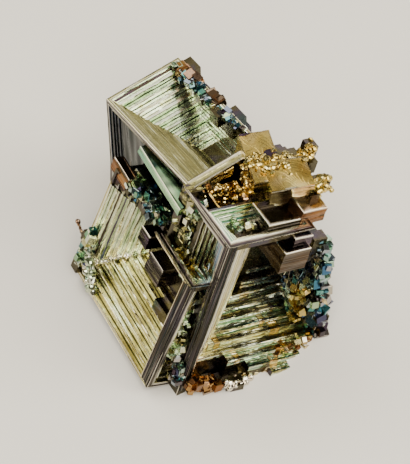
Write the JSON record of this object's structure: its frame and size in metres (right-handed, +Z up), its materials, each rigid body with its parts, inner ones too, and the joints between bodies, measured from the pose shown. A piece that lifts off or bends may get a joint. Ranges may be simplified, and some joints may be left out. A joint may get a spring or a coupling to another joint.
{
  "type": "bismuth hopper crystal",
  "caption": "Cluster of stepped hopper crystals of iridescent bismuth, intergrown at different angles, on a flat cut base.",
  "frame": {"origin": "centre of the bounding box at the flat base", "axes": "+Z up from the flat base, +Y along the long side towards the back, -Y towards the face with the open stepped funnel, +X to the right of it"},
  "size_m": [0.0374, 0.0408, 0.0297],
  "materials": {
    "bismuth": "polished, with an oxide film in interference colours"
  },
  "bodies": {
    "root": {"bismuth_crystal": "bismuth"}
  },
  "joints": []
}
